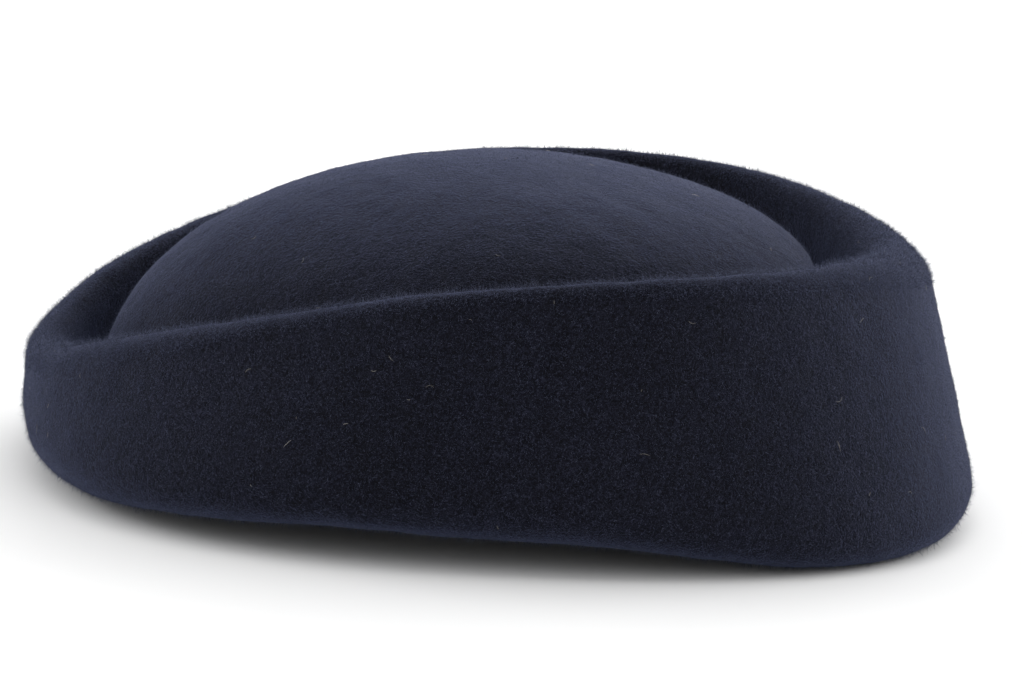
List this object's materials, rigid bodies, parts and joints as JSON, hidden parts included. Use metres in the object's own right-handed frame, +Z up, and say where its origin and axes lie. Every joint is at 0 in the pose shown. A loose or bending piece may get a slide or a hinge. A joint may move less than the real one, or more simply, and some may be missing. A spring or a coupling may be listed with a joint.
{
  "type": "pillbox hat",
  "caption": "Brimless felt pillbox hat with a domed crown, a groove round it and a rolled crest that rises from the front to the back.",
  "frame": {"origin": "on the surface that the hat stands on, under the middle of its length and width", "axes": "+X towards the back of the hat, +Y towards the wearer's right, +Z up"},
  "size_m": [0.2278, 0.1968, 0.077],
  "materials": {
    "felt": "dark navy wool felt with a short soft nap"
  },
  "bodies": {
    "root": {"felt_body": "felt"}
  },
  "joints": []
}
